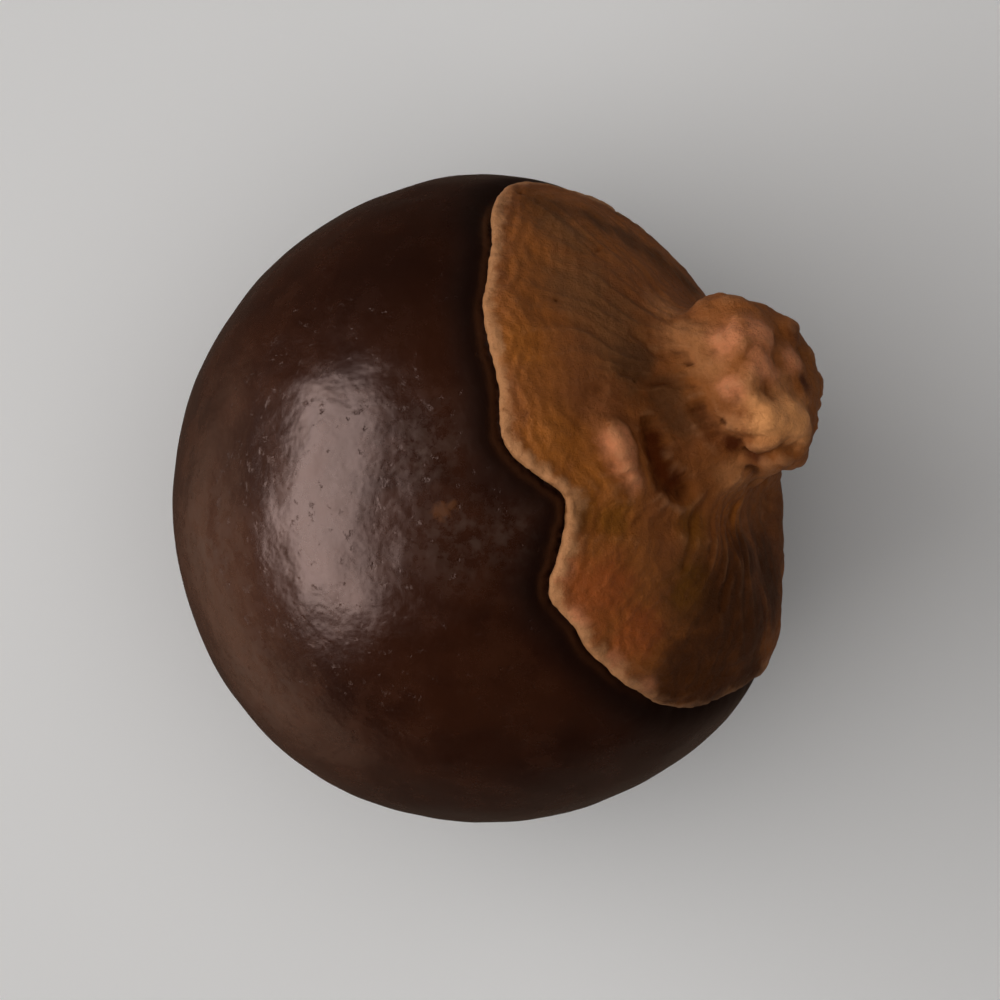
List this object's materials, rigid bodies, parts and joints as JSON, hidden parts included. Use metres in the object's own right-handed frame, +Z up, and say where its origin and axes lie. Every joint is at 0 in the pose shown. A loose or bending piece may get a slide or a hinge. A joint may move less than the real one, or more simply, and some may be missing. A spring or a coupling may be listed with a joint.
{
  "type": "guarana seed",
  "caption": "Whole dried guarana seed: a glossy dark brown ball that lies on a small flat spot, with a crusty tan aril and stalk stub over its scar.",
  "frame": {"origin": "middle of the small flat spot that the seed rests on, under its centre of mass", "axes": "+Z up, away from the surface it rests on, and along its shortest extent; the aril and the stub of the stalk lean towards +X, with a little +Y; the picture looks down along -Z with +Y at its top"},
  "size_m": [0.0112, 0.0112, 0.0102],
  "materials": {
    "seed_coat": "gloss",
    "dried_aril": "matte"
  },
  "bodies": {
    "root": {"seed": "seed_coat", "dried_aril": "dried_aril"}
  },
  "joints": []
}
